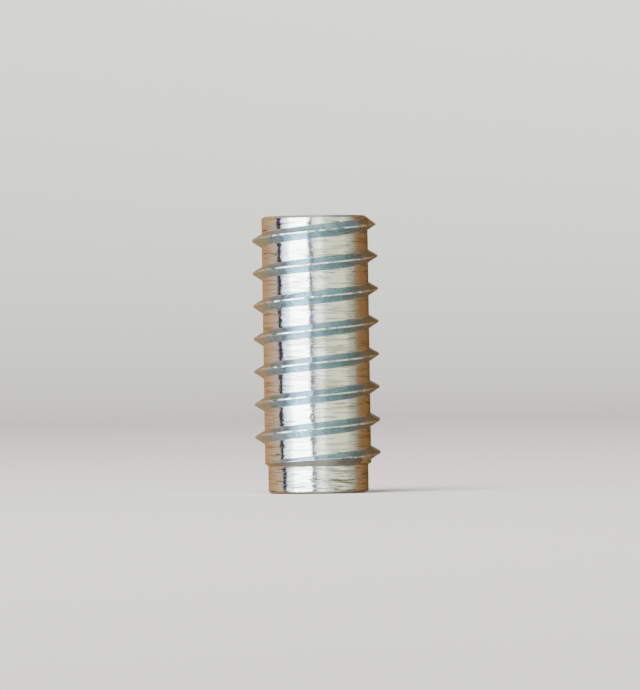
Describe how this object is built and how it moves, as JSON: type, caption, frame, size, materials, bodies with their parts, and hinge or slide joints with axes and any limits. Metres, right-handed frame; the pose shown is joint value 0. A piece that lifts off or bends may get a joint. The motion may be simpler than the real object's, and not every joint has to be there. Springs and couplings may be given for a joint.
{
  "type": "threaded insert",
  "caption": "Steel insert for wood with a coarse outer thread, a plain guiding end, a hex drive socket and a threaded screw hole.",
  "frame": {"origin": "centre of the plain end's face, on which the insert stands", "axes": "+Z along the insert's axis, from the plain end towards the drive socket; -Y faces the front, where the lowest crest lies 2.95 mm above the plain end"},
  "size_m": [0.0116, 0.0116, 0.0254],
  "materials": {
    "zinc_plate": "bright blue-white zinc plate over fine turning marks"
  },
  "bodies": {
    "root": {"insert": "zinc_plate"}
  },
  "joints": []
}
